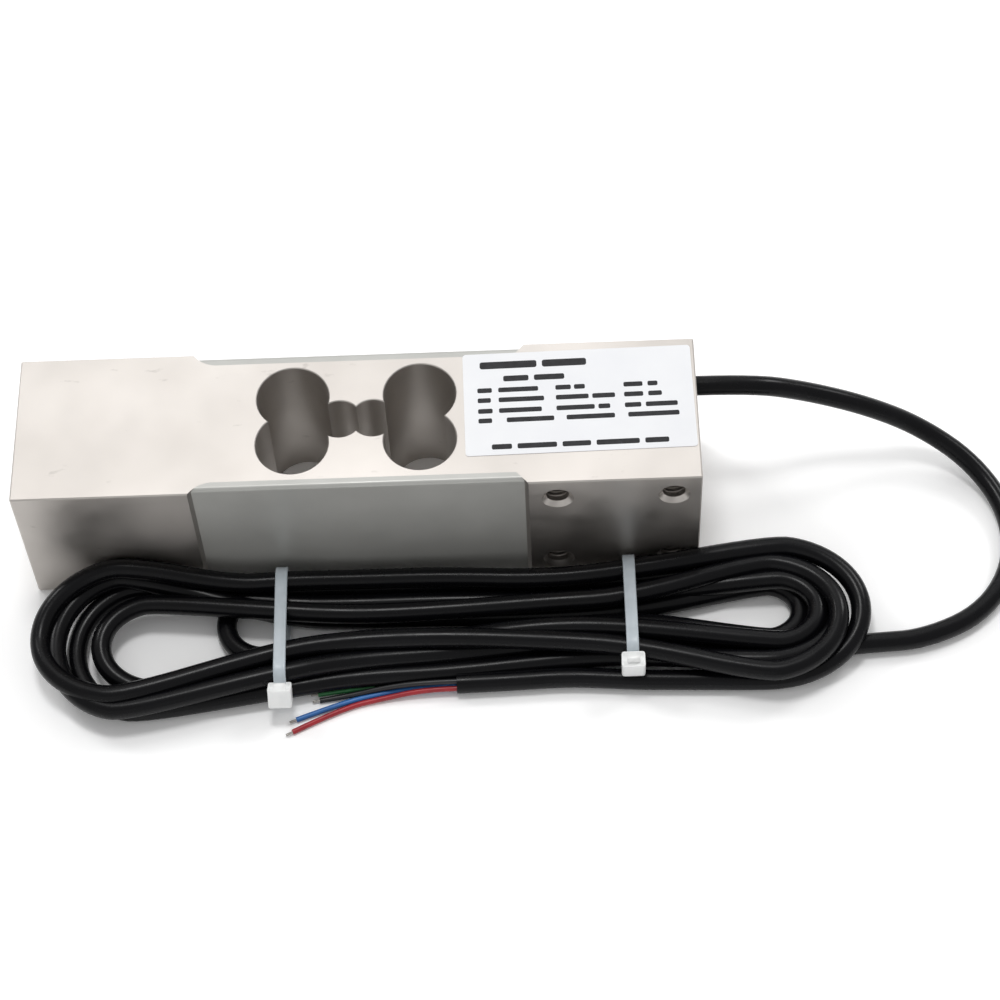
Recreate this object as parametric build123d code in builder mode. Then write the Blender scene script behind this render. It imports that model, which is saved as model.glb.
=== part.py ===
from build123d import *
import math
import os

# Frame: the cell lies on its side, +Z up through its width, +X towards the cable end.
# The load acts along Y. The origin is the middle of the body's lower side, and sizes are in mm.

# Spring body
BODY_LENGTH = 150.0
BODY_HEIGHT = 37.0
BODY_WIDTH = 38.0
EDGE_BREAK = 0.3

# Side recesses over the four thin walls, one in each loading face
RECESS_DEPTH = 3.0
LIVE_BLOCK = 38.5
FIXED_BLOCK = 37.6
RAMP_RADIUS = 6.5
SLOPE_RUN = 2.6

# Cut-out through the width: two pairs of bores and a narrow waist that joins them
THIN_WALL = 1.5
BORE_SPACING = 28.0
BORE_SPACING_ACROSS = 12.0
WAIST_RADIUS = 4.8
WAIST_SPACING = 7.4
WAIST_SLOT = 5.2
CUT_OUT_BREAK = 0.2

# Tapped holes for M6 screws, four in each loading face
TAP_DRILL_RADIUS = 2.5
TAP_RIM_RADIUS = 3.5
TAP_DEPTH = 16.0
TAP_END_MARGIN = 6.0
TAP_PITCH_ALONG = 25.4
TAP_PITCH_ACROSS = 25.0

# Potting over the gauges
COVER_THICKNESS = 2.0
COVER_ROUND = 0.9

# Strain gauges, one over each bore
GAUGE_LENGTH = 7.0
GAUGE_WIDTH = 5.0
GAUGE_THICKNESS = 0.2

# Terminal boards, one in each recess, and the balance resistors on the far one
BOARD_LENGTH = 16.0
BOARD_WIDTH = 21.0
BOARD_THICKNESS = 0.8
BOARD_DROP = 6.9
RESISTOR_LENGTH = 3.2
RESISTOR_WIDTH = 1.6
RESISTOR_THICKNESS = 0.6
RESISTOR_PITCH = 4.0
RESISTOR_COUNT = 3

# Wires inside, which the potting holds a little off the metal
WIRE_LIFT = 0.15
GAUGE_WIRE_LIFT = 0.05
GAUGE_WIRE_DIAMETER = 0.3
GAUGE_WIRE_PITCH = 2.4
JUMPER_DIAMETER = 0.5
JUMPER_PITCH = 0.6
JUMPER_COUNT = 3
JUMPER_HOLE_RADIUS = 1.2
JUMPER_HOLE_DISTANCE = 46.0
JUMPER_BEND = 0.6

# Cable, its bore in the fixed end, and the cores that leave its jacket in there
CABLE_DIAMETER = 4.5
CABLE_BORE_RADIUS = 3.2
CABLE_FACE_DISTANCE = 7.0
CABLE_SIDE_DISTANCE = 8.6
PORT_DISTANCE = 46.0
JACKET_INSERTION = 30.0
SEAL_LENGTH = 15.0
SEAL_SINK = 0.4
CORE_DIAMETER = 1.2
CORE_PITCH = 1.4
CORE_COUNT = 4
CORE_BEND = 1.4

# Rating label on the upper side
LABEL_LENGTH = 50.5
LABEL_WIDTH = 27.0
LABEL_THICKNESS = 0.12
LABEL_CORNER = 0.8
LABEL_CENTRE_X = 49.0
LABEL_CENTRE_Y = 2.75
LABEL_TURN = 0.8

# Free cable from the end face round to the hank, lying down on the way
CABLE_EXIT_Y = BODY_HEIGHT / 2 - CABLE_FACE_DISTANCE
CABLE_EXIT_Z = BODY_WIDTH - CABLE_SIDE_DISTANCE
CABLE_ROUTE = [
    (75.0, CABLE_EXIT_Y, CABLE_EXIT_Z),
    (88.0, CABLE_EXIT_Y, CABLE_EXIT_Z),
    (100.1, 13.5, 23.2),
    (114.2, 12.9, 17.5),
    (127.1, 12.3, 9.3),
    (139.1, 5.3, 4.3),
    (146.2, -7.4, 2.4),
    (145.6, -22.0, 2.25),
    (137.3, -34.1, 2.25),
    (123.8, -40.0, 2.25),
    (113.3, -40.5, 2.25),
]
HANK_ENTRY = (102.8, -41.0, 2.25)
BEND_SHARE = 0.45

# Hank: outline from above, its height, and the two eyes of its end loops
HANK_HEIGHT = 11.0
HANK_ROUND = 3.0
HANK_OUTLINE = [
    (-75.0, -36.0),
    (-71.0, -26.5),
    (-61.0, -20.4),
    (-48.0, -19.2),
    (-33.0, -20.6),
    (-19.0, -21.6),
    (1.0, -21.2),
    (21.0, -21.1),
    (42.0, -22.2),
    (59.0, -22.4),
    (73.0, -20.3),
    (82.0, -16.9),
    (92.0, -15.2),
    (102.0, -18.0),
    (109.0, -25.0),
    (111.8, -34.0),
    (109.0, -43.0),
    (101.0, -48.6),
    (91.0, -51.2),
    (81.0, -50.2),
    (71.0, -46.4),
    (59.0, -44.4),
    (42.0, -44.0),
    (20.0, -44.7),
    (2.0, -45.9),
    (-19.0, -49.4),
    (-34.0, -53.6),
    (-48.0, -55.6),
    (-60.0, -54.2),
    (-70.0, -47.2),
]
LEFT_EYE = [
    (-57.0, -38.0),
    (-50.0, -33.6),
    (-40.0, -31.8),
    (-31.0, -32.6),
    (-37.0, -40.0),
    (-46.0, -43.8),
    (-54.0, -42.6),
]
RIGHT_EYE = [
    (67.0, -34.8),
    (73.0, -33.2),
    (86.0, -32.0),
    (96.5, -34.0),
    (87.0, -37.6),
    (74.0, -36.4),
]

# End of the cable, loose in front of the hank
TAIL_ROUTE = [
    (72.0, -49.2, 2.25),
    (59.0, -47.9, 2.25),
    (45.0, -46.9, 2.25),
    (32.0, -47.4, 2.25),
    (20.0, -47.4, 2.25),
]
TAIL_ENTRY = (84.0, -50.4, 2.25)

# Leads at the end of the cable, with their bared ends
LEAD_ROUTES = {
    "red": [
        (20.0, -48.5, 2.0),
        (13.0, -48.5, 2.0),
        (4.0, -49.7, 0.8),
        (-5.0, -51.8, 0.62),
        (-17.5, -58.0, 0.6),
    ],
    "blue": [
        (20.0, -47.45, 1.3),
        (13.0, -47.45, 1.3),
        (4.0, -48.3, 0.65),
        (-5.0, -50.4, 0.62),
        (-16.4, -54.9, 0.6),
    ],
    "green": [
        (20.0, -46.4, 2.0),
        (13.0, -46.4, 2.0),
        (4.0, -46.8, 0.7),
        (-4.0, -47.2, 0.62),
        (-10.8, -48.1, 0.6),
    ],
    "black": [
        (20.0, -47.4, 3.3),
        (13.0, -47.4, 3.3),
        (4.0, -47.65, 2.0),
        (-4.0, -48.8, 0.7),
        (-10.4, -49.7, 0.6),
    ],
}
CONDUCTOR_DIAMETER = 0.6
BARED_LENGTH = 1.6

# Cable ties: where each one sits, the outer strands that its strap goes round, and its head
TIE_WIDTH = 2.7
TIE_THICKNESS = 1.0
TIE_SIDE_CLEARANCE = 0.2
TIE_HEAD_WIDTH = 5.2
TIE_HEAD_DEPTH = 3.9
TIE_HEAD_HEIGHT = 5.2
TIE_HEAD_ROUND = 0.8
TIES = {
    "left": {
        "x": -18.6,
        "strands": [(-23.4, 3.35), (-22.6, 7.4), (-30.4, 7.3), (-40.2, 7.3), (-45.7, 7.1), (-48.0, 3.35)],
        "head": (-51.4, 6.85),
        "head_turn": -31.5,
    },
    "right": {
        "x": 59.0,
        "strands": [(-23.1, 3.35), (-22.6, 7.7), (-29.8, 7.4), (-41.9, 7.3), (-42.2, 3.35)],
        "head": (-46.75, 7.4),
        "head_turn": 0.0,
    },
}

SIDES = {"near": -1, "far": 1}
ENDS = {"live": -1, "fixed": 1}

half_length = BODY_LENGTH / 2
half_height = BODY_HEIGHT / 2
mid_width = BODY_WIDTH / 2
floor_y = half_height - RECESS_DEPTH
bore_y = BORE_SPACING_ACROSS / 2
bore_radius = floor_y - THIN_WALL - bore_y
recess_start = -half_length + LIVE_BLOCK
recess_end = half_length - FIXED_BLOCK
ramp_foot = recess_start + math.sqrt(2 * RAMP_RADIUS * RECESS_DEPTH - RECESS_DEPTH**2)
slope_foot = recess_end - SLOPE_RUN
port_x = half_length - PORT_DISTANCE
jumper_x = half_length - JUMPER_HOLE_DISTANCE
cable_radius = CABLE_DIAMETER / 2
core_radius = CORE_DIAMETER / 2
core_y = floor_y + WIRE_LIFT + core_radius
core_row_height = (CORE_COUNT - 1) * CORE_PITCH + CORE_DIAMETER
board_z = CABLE_EXIT_Z - BOARD_DROP
gauge_top = mid_width + GAUGE_WIDTH / 2
core_row_bottom = CABLE_EXIT_Z - core_row_height / 2
jumper_z = (gauge_top + core_row_bottom) / 2
jumper_y = floor_y + WIRE_LIFT + JUMPER_DIAMETER / 2

os.makedirs("parts", exist_ok=True)


def save(part, name):
    """Label a finished piece and write it."""
    part.label = name
    export_step(part, f"parts/{name}.step")


def centred(count, pitch):
    """Offsets of a row of equal steps about its middle."""
    return [(index - (count - 1) / 2) * pitch for index in range(count)]


def bend_radii(points):
    """Largest even bend at each corner of a route."""
    corners = [Vector(*point) for point in points]
    radii = []
    for before, corner, after in zip(corners, corners[1:], corners[2:]):
        run = min((corner - before).length, (after - corner).length)
        half_turn = math.radians((corner - before).get_angle(after - corner)) / 2
        radii.append(BEND_SHARE * run / math.tan(half_turn))
    return radii


def recess_outline(side, fill):
    """Outline of a recess seen along the width, filled to a height above its floor."""
    ramp_reach = math.sqrt(2 * RAMP_RADIUS * fill - fill**2)
    slope_reach = SLOPE_RUN * fill / RECESS_DEPTH
    floor = side * floor_y
    top = side * (floor_y + fill)
    with BuildLine() as outline:
        Polyline(
            (ramp_foot, floor),
            (slope_foot, floor),
            (slope_foot + slope_reach, top),
            (ramp_foot - ramp_reach, top),
        )
        TangentArc((ramp_foot, floor), (ramp_foot - ramp_reach, top), tangent=(-1, 0))
    return outline.line


def bundle_section(tie):
    """Section of the bundle inside a tie, drawn flat with the body's Y and Z as its axes."""
    with BuildSketch() as section:
        with Locations(*tie["strands"]):
            Circle(cable_radius)
        make_hull()
    return section.sketch


def tie_plane(tie):
    """Plane across the bundle, in the middle of a tie."""
    return Plane(origin=(tie["x"], 0, 0), x_dir=(0, 1, 0), z_dir=(1, 0, 0))


def face_plane(x, side):
    """Plane on a loading face, outward, with its own x axis along the body."""
    return Plane(origin=(x, side * half_height, mid_width), x_dir=(-side, 0, 0), z_dir=(0, side, 0))


# Spring body: milled bar with its cut-out, recesses, tapped holes and cable passages
with BuildPart() as spring_body:
    Box(BODY_LENGTH, BODY_HEIGHT, BODY_WIDTH, align=(Align.CENTER, Align.CENTER, Align.MIN))
    chamfer(spring_body.edges(), EDGE_BREAK)
    with BuildSketch(Plane.XY):
        with GridLocations(BORE_SPACING, BORE_SPACING_ACROSS, 2, 2):
            Circle(bore_radius)
        with GridLocations(WAIST_SPACING, 0, 2, 1):
            Circle(WAIST_RADIUS)
        Rectangle(BORE_SPACING, WAIST_SLOT)
    extrude(amount=BODY_WIDTH, mode=Mode.SUBTRACT)
    upper_rim = spring_body.faces().sort_by(Axis.Z)[-1].inner_wires()[0].edges()
    lower_rim = spring_body.faces().sort_by(Axis.Z)[0].inner_wires()[0].edges()
    chamfer(upper_rim + lower_rim, CUT_OUT_BREAK)
    for side in SIDES.values():
        with BuildSketch(Plane.XY):
            add(recess_outline(side, RECESS_DEPTH))
            make_face()
        extrude(amount=BODY_WIDTH, mode=Mode.SUBTRACT)
    for end, side in ((1, SIDES["near"]), (-1, SIDES["far"])):
        group_x = end * (half_length - TAP_END_MARGIN - TAP_PITCH_ALONG / 2)
        with Locations(face_plane(group_x, side)):
            with GridLocations(TAP_PITCH_ALONG, TAP_PITCH_ACROSS, 2, 2):
                CounterSinkHole(TAP_DRILL_RADIUS, TAP_RIM_RADIUS, depth=TAP_DEPTH, counter_sink_angle=90)
    with Locations(Plane(origin=(half_length, CABLE_EXIT_Y, CABLE_EXIT_Z), z_dir=(1, 0, 0))):
        Hole(CABLE_BORE_RADIUS, depth=PORT_DISTANCE)
    with Locations(Plane(origin=(port_x, floor_y, CABLE_EXIT_Z), z_dir=(0, 1, 0))):
        Hole(CABLE_BORE_RADIUS, depth=floor_y - CABLE_EXIT_Y + CABLE_BORE_RADIUS)
    with Locations(Plane(origin=(jumper_x, -floor_y, jumper_z), z_dir=(0, -1, 0))):
        Hole(JUMPER_HOLE_RADIUS, depth=2 * floor_y)
save(spring_body.part, "spring_body")

# Pieces under the potting, kept by side so that the potting can be cut round them
buried = {name: [] for name in SIDES}

for side_name, side in SIDES.items():
    # Strain gauges, bonded to the recess floor over the bores
    for end_name, end in ENDS.items():
        gauge_plane = Plane(
            origin=(end * BORE_SPACING / 2, side * floor_y, mid_width), x_dir=(1, 0, 0), z_dir=(0, side, 0)
        )
        with BuildPart() as strain_gauge:
            with BuildSketch(gauge_plane):
                Rectangle(GAUGE_LENGTH, GAUGE_WIDTH)
            extrude(amount=GAUGE_THICKNESS)
        save(strain_gauge.part, f"strain_gauge_{side_name}_{end_name}")
        buried[side_name].append(strain_gauge.part)

    # Terminal board between the two gauges
    board_plane = Plane(origin=(0, side * floor_y, board_z), x_dir=(1, 0, 0), z_dir=(0, side, 0))
    with BuildPart() as terminal_board:
        with BuildSketch(board_plane):
            Rectangle(BOARD_LENGTH, BOARD_WIDTH)
        extrude(amount=BOARD_THICKNESS)
    save(terminal_board.part, f"terminal_board_{side_name}")
    buried[side_name].append(terminal_board.part)

    # Short wires from each gauge to the board's edge
    wire_gap = BORE_SPACING / 2 - GAUGE_LENGTH / 2 - BOARD_LENGTH / 2
    wire_y = side * (floor_y + GAUGE_WIRE_LIFT + GAUGE_WIRE_DIAMETER / 2)
    with BuildPart() as gauge_wires:
        for end in ENDS.values():
            for shift in centred(2, GAUGE_WIRE_PITCH):
                start = (end * BOARD_LENGTH / 2, wire_y, mid_width + shift)
                with BuildSketch(Plane(origin=start, z_dir=(end, 0, 0))):
                    Circle(GAUGE_WIRE_DIAMETER / 2)
                extrude(amount=wire_gap)
    save(gauge_wires.part, f"gauge_wires_{side_name}")
    buried[side_name].append(gauge_wires.part)

# Balance resistors on the far board
resistor_plane = Plane(
    origin=(0, floor_y + BOARD_THICKNESS, board_z), x_dir=(1, 0, 0), z_dir=(0, 1, 0)
)
with BuildPart() as balance_resistors:
    with BuildSketch(resistor_plane):
        with GridLocations(0, RESISTOR_PITCH, 1, RESISTOR_COUNT):
            Rectangle(RESISTOR_LENGTH, RESISTOR_WIDTH)
    extrude(amount=RESISTOR_THICKNESS)
save(balance_resistors.part, "balance_resistors")
buried["far"].append(balance_resistors.part)

# Jumper wires from the near board through the body to the far board
with BuildPart() as jumper_wires:
    for shift in centred(JUMPER_COUNT, JUMPER_PITCH):
        wire_z = jumper_z + shift
        route = [
            (BOARD_LENGTH / 2, -jumper_y, wire_z),
            (jumper_x, -jumper_y, wire_z),
            (jumper_x, jumper_y, wire_z),
            (BOARD_LENGTH / 2, jumper_y, wire_z),
        ]
        with BuildLine() as wire_path:
            FilletPolyline(*route, radius=JUMPER_BEND)
        with BuildSketch(Plane(origin=route[0], z_dir=wire_path.line % 0)):
            Circle(JUMPER_DIAMETER / 2)
        sweep(path=wire_path.line)
save(jumper_wires.part, "jumper_wires")
for side_name in SIDES:
    buried[side_name].append(jumper_wires.part)

# Cores from the end of the jacket to the far board, side by side
jacket_end_x = half_length - JACKET_INSERTION
with BuildPart() as core_wires:
    for shift in centred(CORE_COUNT, CORE_PITCH):
        core_z = CABLE_EXIT_Z + shift
        route = [
            (jacket_end_x, CABLE_EXIT_Y, core_z),
            (port_x, CABLE_EXIT_Y, core_z),
            (port_x, core_y, core_z),
            (BOARD_LENGTH / 2, core_y, core_z),
        ]
        with BuildLine() as core_path:
            FilletPolyline(*route, radius=CORE_BEND)
        with BuildSketch(Plane(origin=route[0], z_dir=core_path.line % 0)):
            Circle(core_radius)
        sweep(path=core_path.line)
save(core_wires.part, "core_wires")
buried["far"].append(core_wires.part)

# Potting in each recess, with room for what it covers
for side_name, side in SIDES.items():
    with BuildPart() as gauge_cover:
        with BuildSketch(Plane.XY):
            add(recess_outline(side, COVER_THICKNESS))
            make_face()
        extrude(amount=BODY_WIDTH)
        outer_face = gauge_cover.faces().sort_by(Axis.Y)[0 if side < 0 else -1]
        fillet(outer_face.edges().filter_by(Axis.X), COVER_ROUND)
        for piece in buried[side_name]:
            add(piece, mode=Mode.SUBTRACT)
    save(gauge_cover.part, f"gauge_cover_{side_name}")

# Cable in its bore, and the seal round it
with BuildPart() as cable_stub:
    with BuildSketch(Plane(origin=(jacket_end_x, CABLE_EXIT_Y, CABLE_EXIT_Z), z_dir=(1, 0, 0))):
        Circle(cable_radius)
    extrude(amount=JACKET_INSERTION)
save(cable_stub.part, "cable_stub")

seal_face = Plane(origin=(half_length - SEAL_SINK, CABLE_EXIT_Y, CABLE_EXIT_Z), z_dir=(-1, 0, 0))
with BuildPart() as cable_seal:
    with BuildSketch(seal_face):
        Circle(CABLE_BORE_RADIUS)
        Circle(cable_radius, mode=Mode.SUBTRACT)
    extrude(amount=SEAL_LENGTH)
save(cable_seal.part, "cable_seal")

# Rating label
with BuildPart() as rating_label:
    label_place = Plane(origin=(LABEL_CENTRE_X, LABEL_CENTRE_Y, BODY_WIDTH))
    with BuildSketch(label_place.rotated((0, 0, LABEL_TURN))):
        RectangleRounded(LABEL_LENGTH, LABEL_WIDTH, LABEL_CORNER)
    extrude(amount=LABEL_THICKNESS)
save(rating_label.part, "rating_label")

# Free cable and loose cable end
for name, route in (("cable_run", CABLE_ROUTE), ("cable_tail", TAIL_ROUTE)):
    radii = bend_radii(route)
    with BuildPart() as cable:
        with BuildLine() as cable_path:
            FilletPolyline(*route, radius=radii)
        with BuildSketch(Plane(origin=route[0], z_dir=cable_path.line % 0)):
            Circle(cable_radius)
        sweep(path=cable_path.line)
    section_volume = math.pi * cable_radius**2 * cable_path.wire().length
    volume_ratio = cable.part.volume / section_volume
    print(name, "bend radii", [round(radius, 1) for radius in radii])
    print(name, "length", round(cable_path.wire().length, 1), "volume ratio", round(volume_ratio, 4))
    save(cable.part, name)

# Hank: one solid of its outer shape, waisted where the ties hold it
with BuildPart() as cable_hank:
    with BuildSketch(Plane.XY):
        with BuildLine():
            Spline(*HANK_OUTLINE, periodic=True)
        make_face()
    extrude(amount=HANK_HEIGHT)
    level_faces = cable_hank.faces().filter_by(Axis.Z)
    fillet(level_faces.edges(), HANK_ROUND)
    with BuildSketch(Plane.XY):
        for eye in (LEFT_EYE, RIGHT_EYE):
            with BuildLine():
                Spline(*eye, periodic=True)
            make_face()
    extrude(amount=HANK_HEIGHT, mode=Mode.SUBTRACT)
    waist_length = TIE_HEAD_WIDTH + 2 * TIE_SIDE_CLEARANCE
    for tie in TIES.values():
        with BuildSketch(tie_plane(tie)):
            Rectangle(4 * BODY_HEIGHT, 4 * HANK_HEIGHT)
            add(bundle_section(tie), mode=Mode.SUBTRACT)
        extrude(amount=waist_length / 2, both=True, mode=Mode.SUBTRACT)
    for start, inner in ((CABLE_ROUTE[-1], HANK_ENTRY), (TAIL_ROUTE[0], TAIL_ENTRY)):
        with BuildSketch(Plane(origin=start, z_dir=Vector(*inner) - Vector(*start))):
            Circle(cable_radius)
        extrude(amount=(Vector(*inner) - Vector(*start)).length)
save(cable_hank.part, "cable_hank")

# Cable ties, strap and head moulded as one
for tie_name, tie in TIES.items():
    head_y, head_z = tie["head"]
    with BuildPart() as cable_tie:
        with BuildSketch(tie_plane(tie)):
            add(bundle_section(tie))
            offset(amount=TIE_THICKNESS)
            add(bundle_section(tie), mode=Mode.SUBTRACT)
        extrude(amount=TIE_WIDTH / 2, both=True)
        with Locations(Location((tie["x"], head_y, head_z), (tie["head_turn"], 0, 0))):
            Box(TIE_HEAD_WIDTH, TIE_HEAD_DEPTH, TIE_HEAD_HEIGHT)
        head_front = cable_tie.faces().sort_by(Axis.Y)[0]
        fillet(head_front.edges(), TIE_HEAD_ROUND)
    save(cable_tie.part, f"cable_tie_{tie_name}")

# Leads, each with its bared end
for colour, route in LEAD_ROUTES.items():
    radii = bend_radii(route)
    with BuildPart() as lead:
        with BuildLine() as lead_path:
            FilletPolyline(*route, radius=radii)
        with BuildSketch(Plane(origin=route[0], z_dir=lead_path.line % 0)):
            Circle(core_radius)
        sweep(path=lead_path.line)
    print("lead", colour, "bend radii", [round(radius, 1) for radius in radii])
    save(lead.part, f"lead_{colour}")
    with BuildPart() as bared_end:
        with BuildSketch(Plane(origin=route[-1], z_dir=lead_path.line % 1)):
            Circle(CONDUCTOR_DIAMETER / 2)
        extrude(amount=BARED_LENGTH)
    save(bared_end.part, f"bared_end_{colour}")
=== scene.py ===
"""Looks of a single point load cell with its cable folded into a hank.

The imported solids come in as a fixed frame, in metres: X runs along the spring body with the cable's end
at +X, -Y faces the viewer, and the floor is Z = 0. This script gives every solid its finish, winds the
cable as one spline, and adds the ties, leads, print and screw threads. Lengths in the tables are in
millimetres, and MM turns them into metres.
"""

import logging
import math
from dataclasses import dataclass, field
from enum import Enum
from typing import Iterable, Optional, Sequence, Union

import bmesh
import bpy
from mathutils import Euler, Matrix, Vector

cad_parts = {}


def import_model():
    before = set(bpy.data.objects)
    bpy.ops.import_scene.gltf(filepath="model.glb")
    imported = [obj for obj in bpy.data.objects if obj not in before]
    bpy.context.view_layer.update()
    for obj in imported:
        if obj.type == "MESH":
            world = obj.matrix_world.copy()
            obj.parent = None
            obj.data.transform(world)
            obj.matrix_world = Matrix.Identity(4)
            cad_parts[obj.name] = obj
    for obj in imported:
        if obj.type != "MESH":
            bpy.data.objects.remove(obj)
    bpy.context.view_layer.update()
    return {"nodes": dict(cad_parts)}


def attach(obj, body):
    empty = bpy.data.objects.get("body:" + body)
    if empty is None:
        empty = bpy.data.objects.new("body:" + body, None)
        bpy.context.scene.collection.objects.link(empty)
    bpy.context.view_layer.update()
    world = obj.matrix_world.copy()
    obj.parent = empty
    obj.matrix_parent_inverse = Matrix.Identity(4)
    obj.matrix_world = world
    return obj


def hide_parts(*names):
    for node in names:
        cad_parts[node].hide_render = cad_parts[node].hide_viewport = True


LOG = logging.getLogger("load_cell")
MM = 0.001

Point = tuple[float, float, float]
Socket = bpy.types.NodeSocket
Value = Union[float, Sequence[float], Socket]


# Colour and node helpers


def linear(hex_colour: str) -> tuple[float, float, float, float]:
    """Turns an sRGB hex colour into the linear colour that shaders take.

    Args:
        hex_colour: Six hex digits, such as "c8c6c2".

    Returns:
        Red, green, blue and an alpha of 1.
    """
    channels = [int(hex_colour[i : i + 2], 16) / 255 for i in (0, 2, 4)]
    curve = [c / 12.92 if c <= 0.04045 else ((c + 0.055) / 1.055) ** 2.4 for c in channels]
    return (curve[0], curve[1], curve[2], 1.0)


def per_mm(size: float) -> float:
    """Gives the texture scale, in object space, of a feature of that size in millimetres."""
    return 1 / (size * MM)


def add_node(
    tree: bpy.types.NodeTree,
    kind: str,
    settings: Optional[dict[str, object]] = None,
    inputs: Optional[dict[Union[str, int], Value]] = None,
) -> bpy.types.Node:
    """Adds a node, sets its properties, and fills its inputs.

    Args:
        tree: Node tree that gets the node.
        kind: The node's type name.
        settings: Properties by name.
        inputs: Values, or sockets to link from, by input name or number.

    Returns:
        The new node.
    """
    node = tree.nodes.new(kind)
    for name, value in (settings or {}).items():
        setattr(node, name, value)
    for name, value in (inputs or {}).items():
        if isinstance(value, bpy.types.NodeSocket):
            tree.links.new(value, node.inputs[name])
        else:
            node.inputs[name].default_value = value
    return node


@dataclass
class Shading:
    """One material's node tree while it is being built."""

    tree: bpy.types.NodeTree
    surface: bpy.types.Node

    def node(
        self, kind: str, settings: Optional[dict] = None, inputs: Optional[dict] = None
    ) -> bpy.types.Node:
        """Adds a node to this tree, as add_node does."""
        return add_node(self.tree, kind, settings, inputs)

    def place(self, stretch: Point = (1.0, 1.0, 1.0)) -> Socket:
        """Gives the object's own coordinates, squeezed by a factor along each axis."""
        coordinates = self.node("ShaderNodeTexCoord").outputs["Object"]
        mapping = self.node("ShaderNodeMapping", inputs={"Vector": coordinates, "Scale": stretch})
        return mapping.outputs["Vector"]

    def noise(self, size: float, detail: float = 2.0, stretch: Point = (1.0, 1.0, 1.0)) -> Socket:
        """Gives soft noise whose blotches are about that many millimetres across."""
        inputs = {"Vector": self.place(stretch), "Scale": per_mm(size), "Detail": detail}
        return self.node("ShaderNodeTexNoise", inputs=inputs).outputs["Fac"]

    def remap(
        self, factor: Socket, low: float, high: float, start: float = 0.3, end: float = 0.7
    ) -> Socket:
        """Stretches a factor between start and end to run from low to high."""
        inputs = {"Value": factor, "From Min": start, "From Max": end, "To Min": low, "To Max": high}
        return self.node("ShaderNodeMapRange", inputs=inputs).outputs["Result"]

    def blend(self, factor: Value, first: Value, second: Value) -> Socket:
        """Mixes two colours by a factor."""
        inputs = {0: factor, 6: first, 7: second}
        return self.node("ShaderNodeMix", {"data_type": "RGBA"}, inputs).outputs[2]

    def calculate(self, operation: str, first: Value, second: Value = 0.0) -> Socket:
        """Gives the result of one sum on one or two numbers."""
        return self.node("ShaderNodeMath", {"operation": operation}, {0: first, 1: second}).outputs[0]

    def bump(
        self, height: Socket, depth: float, strength: float = 1.0, under: Optional[Socket] = None
    ) -> Socket:
        """Turns a height into a normal, for relief that is depth millimetres deep."""
        inputs = {"Height": height, "Distance": depth * MM, "Strength": strength}
        if under is not None:
            inputs["Normal"] = under
        return self.node("ShaderNodeBump", inputs=inputs).outputs["Normal"]

    def surface_input(self, name: str, value: Value) -> None:
        """Sets or links one input of the surface shader."""
        if isinstance(value, bpy.types.NodeSocket):
            self.tree.links.new(value, self.surface.inputs[name])
        else:
            self.surface.inputs[name].default_value = value


# Finishes


@dataclass(frozen=True)
class Finish:
    """One real material and how it looks.

    Attributes:
        name: The material's name, after the real material.
        colour: Main sRGB colour.
        roughness: How much the surface scatters its reflections.
        metallic: 1 for bare metal, 0 for everything else.
    """

    name: str
    colour: str
    roughness: float
    metallic: float = 0.0

    def build(self) -> bpy.types.Material:
        """Makes the material, or returns the one already made under this name."""
        known = bpy.data.materials.get(self.name)
        if known is not None:
            return known
        material = bpy.data.materials.new(self.name)
        material.use_nodes = True
        shading = Shading(material.node_tree, material.node_tree.nodes["Principled BSDF"])
        shading.surface_input("Base Color", linear(self.colour))
        shading.surface_input("Roughness", self.roughness)
        shading.surface_input("Metallic", self.metallic)
        material.diffuse_color = linear(self.colour)
        self.shade(shading)
        return material

    def shade(self, shading: Shading) -> None:
        """Adds this finish's own pattern. Each finish has one."""


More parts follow.
